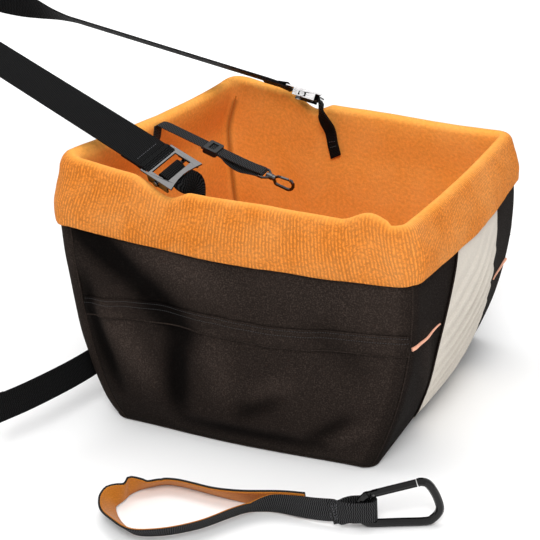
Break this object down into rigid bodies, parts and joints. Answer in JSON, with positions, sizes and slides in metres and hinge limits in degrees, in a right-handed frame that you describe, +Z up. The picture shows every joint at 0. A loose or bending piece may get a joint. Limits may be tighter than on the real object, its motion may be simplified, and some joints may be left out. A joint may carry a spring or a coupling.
{
  "type": "dog car seat",
  "caption": "Open-topped soft booster seat for a small dog, its lining folded over the rim as a cuff, with pockets, anchoring straps, a tether clip and a loose seat-belt tether.",
  "frame": {"origin": "middle of the base between its two sides, on the underside of the base cloth", "axes": "+X towards the front of the tub with its pale panel, -Y the near side with the pocket in the picture, +Z up"},
  "size_m": [0.7586, 0.665, 0.4577],
  "materials": {
    "black_cloth": "woven polyester, matt",
    "orange_cloth": "ribbed plush, soft",
    "grey_cloth": "woven polyester, matt",
    "piping": "bias tape",
    "webbing": "ribbed webbing",
    "fibreboard": "pressed fibreboard",
    "steel": "nickel plated",
    "black_metal": "gloss black",
    "black_plastic": "satin moulded"
  },
  "bodies": {
    "tub": {"near_wall": "black_cloth", "front_wall": "black_cloth", "far_wall": "black_cloth", "back_wall": "black_cloth", "near_board": "fibreboard", "front_board": "fibreboard", "far_board": "fibreboard", "back_board": "fibreboard", "near_liner": "orange_cloth", "front_liner": "orange_cloth", "far_liner": "orange_cloth", "back_liner": "orange_cloth", "base_cloth": "black_cloth", "base_board": "fibreboard", "liner_floor": "orange_cloth", "near_pocket": "black_cloth", "far_pocket": "black_cloth", "near_pocket_flap": "black_cloth", "far_pocket_flap": "black_cloth", "front_panel": "grey_cloth", "near_piping": "piping", "far_piping": "piping", "headrest_strap": "webbing", "near_buckle_frame": "steel", "far_buckle_frame": "steel", "near_anchor_webbing": "webbing", "far_anchor_webbing": "webbing", "lower_strap": "webbing", "near_strap_tab": "black_cloth", "far_strap_tab": "black_cloth", "tether_webbing": "webbing", "clip_eye": "steel", "belt_tether_webbing": "webbing", "belt_tether_lining": "orange_cloth"},
    "floor_pad": {"floor_pad": "orange_cloth"},
    "near_lock_bar": {"near_lock_bar": "steel"},
    "far_lock_bar": {"far_lock_bar": "steel"},
    "tether_slider": {"tether_slider": "black_plastic"},
    "clip_hook": {"clip_hook": "steel", "clip_gate_pin": "steel"},
    "clip_gate": {"clip_gate": "steel"},
    "carabiner": {"carabiner_body": "black_metal", "carabiner_gate_pin": "steel"},
    "carabiner_gate": {"carabiner_gate": "black_metal", "carabiner_gate_spring": "steel"}
  },
  "joints": [
    {"name": "pad_lift", "type": "slide", "parent": "tub", "child": "floor_pad", "axis": [0, 0, 1], "range_m": [0, 0.15]},
    {"name": "near_bar_slide", "type": "slide", "parent": "tub", "child": "near_lock_bar", "axis": [-0.9257, 0.2305, 0.2999], "range_m": [-0.002, 0.002]},
    {"name": "far_bar_slide", "type": "slide", "parent": "tub", "child": "far_lock_bar", "axis": [-0.9257, -0.2305, 0.2999], "range_m": [-0.002, 0.002]},
    {"name": "slider_slide", "type": "slide", "parent": "tub", "child": "tether_slider", "axis": [0.9267, 0.0621, -0.3707], "range_m": [-0.03, 0]},
    {"name": "clip_swivel", "type": "hinge", "parent": "tub", "child": "clip_hook", "pos_m": [-0.04485, -0.00692, 0.24871], "axis": [0.9267, 0.0621, -0.3707], "continuous": true},
    {"name": "clip_gate_hinge", "type": "hinge", "parent": "clip_hook", "child": "clip_gate", "pos_m": [-0.02473, -0.00609, 0.24543], "axis": [-0.0231, 0.9938, 0.1088], "range_deg": [0, 25], "stiffness_Nm_per_rad": 0.01, "springref_deg": -17.19},
    {"name": "carabiner_swing", "type": "hinge", "parent": "tub", "child": "carabiner", "pos_m": [0.16973, -0.2564, 0.0203], "axis": [0, 0, 1], "range_deg": [-6, 6]},
    {"name": "carabiner_gate_hinge", "type": "hinge", "parent": "carabiner", "child": "carabiner_gate", "pos_m": [0.18303, -0.25003, 0.03648], "axis": [-0.4321, 0.9018, 0], "range_deg": [0, 25], "stiffness_Nm_per_rad": 0.05, "springref_deg": -17.19}
  ]
}
